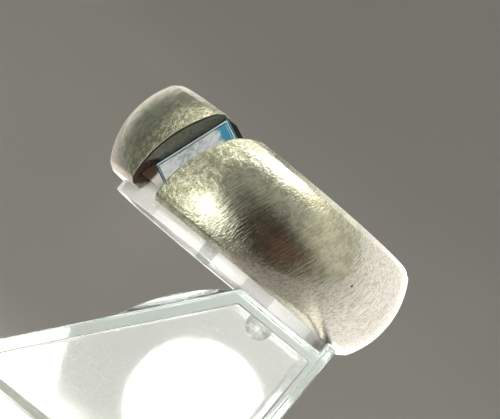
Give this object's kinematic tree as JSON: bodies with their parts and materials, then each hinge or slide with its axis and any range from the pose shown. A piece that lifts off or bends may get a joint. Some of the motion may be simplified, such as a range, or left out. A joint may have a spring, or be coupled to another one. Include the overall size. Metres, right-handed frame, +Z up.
{
  "type": "aquamarine ring on clear display stand",
  "caption": "Wide domed silver ring with a step-cut aquamarine set in a slanted slot, lying on a clear wedge-shaped display stand with a short tube inside the finger hole.",
  "frame": {"origin": "on the ring's axis, at the foot of the display stand", "axes": "+Z up along the ring's axis, +X towards the stand's upright end, -Y towards the front, where the slot is on the left"},
  "size_m": [0.0228, 0.0228, 0.0237],
  "materials": {
    "satin_silver": "satin brushed silver, a little tarnished",
    "aquamarine_stone": "pale blue transparent step-cut stone",
    "clear_plastic": "clear moulded plastic, slightly hazy"
  },
  "bodies": {
    "root": {"band": "satin_silver", "aquamarine": "aquamarine_stone", "clip_loop": "clear_plastic", "stand_base": "clear_plastic"}
  },
  "joints": []
}
